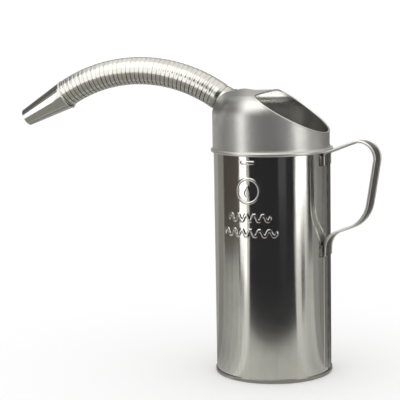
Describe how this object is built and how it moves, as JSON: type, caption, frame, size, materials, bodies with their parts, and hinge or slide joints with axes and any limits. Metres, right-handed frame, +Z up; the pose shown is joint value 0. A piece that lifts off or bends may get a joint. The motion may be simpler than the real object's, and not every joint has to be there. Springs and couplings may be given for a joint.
{
  "type": "motor oil can",
  "caption": "Two-litre tinplate oil measure with a drawn hood, a slanted wired mouth, a strap handle and a flexible metal spout with a conical nozzle.",
  "frame": {"origin": "centre of the base, on the can's axis, in the plane that the can stands on", "axes": "+Z up the can's axis, -X towards the spout, +X towards the low side of the mouth; the handle lies 11 degrees clockwise of +X seen from above"},
  "size_m": [0.371, 0.1166, 0.3049],
  "materials": {
    "tinplate": "bright tinned sheet, lightly scratched and dulled",
    "satin_tin": "satin drawn tinplate",
    "hose_steel": "bright zinc-plated strip with dark grooves",
    "soldered_steel": "dull solder"
  },
  "bodies": {
    "can": {"body_shell": "tinplate", "base_end": "tinplate", "hood": "satin_tin", "mouth_wire": "satin_tin", "outlet_neck": "tinplate", "hose_ferrule": "hose_steel", "handle_strap": "tinplate", "handle_wire_front": "tinplate", "handle_wire_back": "tinplate", "foot_plate_upper": "soldered_steel", "foot_plate_lower": "soldered_steel"},
    "spout_01": {"hose_segment_01": "hose_steel"},
    "spout_02": {"hose_segment_02": "hose_steel"},
    "spout_03": {"hose_segment_03": "hose_steel"},
    "spout_04": {"hose_segment_04": "hose_steel"},
    "spout_05": {"hose_segment_05": "hose_steel"},
    "spout_06": {"hose_segment_06": "hose_steel"},
    "spout_07": {"hose_segment_07": "hose_steel"},
    "spout_08": {"hose_segment_08": "hose_steel"},
    "spout_09": {"hose_segment_09": "hose_steel"},
    "spout_10": {"hose_segment_10": "hose_steel"},
    "spout_11": {"hose_segment_11": "hose_steel"},
    "spout_12": {"hose_segment_12": "hose_steel", "nozzle_cone": "tinplate", "nozzle_bead": "tinplate"}
  },
  "joints": [
    {"name": "bend_lower_1", "type": "hinge", "parent": "can", "child": "spout_01", "pos_m": [-0.05759, 0, 0.27074], "axis": [0, -1, 0], "range_deg": [-10, 9]},
    {"name": "sway_lower_1", "type": "hinge", "parent": "spout_01", "child": "spout_02", "pos_m": [-0.06957, 0, 0.27726], "axis": [0.4369, 0, 0.8995], "range_deg": [-8, 8]},
    {"name": "bend_lower_2", "type": "hinge", "parent": "spout_02", "child": "spout_03", "pos_m": [-0.08211, 0, 0.28265], "axis": [0, -1, 0], "range_deg": [-10, 9]},
    {"name": "sway_lower_2", "type": "hinge", "parent": "spout_03", "child": "spout_04", "pos_m": [-0.09509, 0, 0.28686], "axis": [0.2641, 0, 0.9645], "range_deg": [-8, 8]},
    {"name": "bend_lower_3", "type": "hinge", "parent": "spout_04", "child": "spout_05", "pos_m": [-0.1084, 0, 0.28985], "axis": [0, -1, 0], "range_deg": [-10, 9]},
    {"name": "sway_lower_3", "type": "hinge", "parent": "spout_05", "child": "spout_06", "pos_m": [-0.12194, 0, 0.2916], "axis": [0.0824, 0, 0.9966], "range_deg": [-8, 8]},
    {"name": "bend_upper_1", "type": "hinge", "parent": "spout_06", "child": "spout_07", "pos_m": [-0.13557, 0, 0.29209], "axis": [0, -1, 0], "range_deg": [-10, 9]},
    {"name": "sway_upper_1", "type": "hinge", "parent": "spout_07", "child": "spout_08", "pos_m": [-0.14919, 0, 0.29133], "axis": [-0.1022, 0, 0.9948], "range_deg": [-8, 8]},
    {"name": "bend_upper_2", "type": "hinge", "parent": "spout_08", "child": "spout_09", "pos_m": [-0.16269, 0, 0.28931], "axis": [0, -1, 0], "range_deg": [-10, 9]},
    {"name": "sway_upper_2", "type": "hinge", "parent": "spout_09", "child": "spout_10", "pos_m": [-0.17594, 0, 0.28605], "axis": [-0.2833, 0, 0.959], "range_deg": [-8, 8]},
    {"name": "bend_upper_3", "type": "hinge", "parent": "spout_10", "child": "spout_11", "pos_m": [-0.18883, 0, 0.28158], "axis": [0, -1, 0], "range_deg": [-10, 9]},
    {"name": "sway_upper_3", "type": "hinge", "parent": "spout_11", "child": "spout_12", "pos_m": [-0.20126, 0, 0.27595], "axis": [-0.4547, 0, 0.8906], "range_deg": [-8, 8]}
  ],
  "couplings": [
    {"joint": "bend_lower_2", "follows": "bend_lower_1", "ratio": 1},
    {"joint": "sway_lower_2", "follows": "sway_lower_1", "ratio": 1},
    {"joint": "bend_lower_3", "follows": "bend_lower_1", "ratio": 1},
    {"joint": "sway_lower_3", "follows": "sway_lower_1", "ratio": 1},
    {"joint": "bend_upper_2", "follows": "bend_upper_1", "ratio": 1},
    {"joint": "sway_upper_2", "follows": "sway_upper_1", "ratio": 1},
    {"joint": "bend_upper_3", "follows": "bend_upper_1", "ratio": 1},
    {"joint": "sway_upper_3", "follows": "sway_upper_1", "ratio": 1}
  ]
}
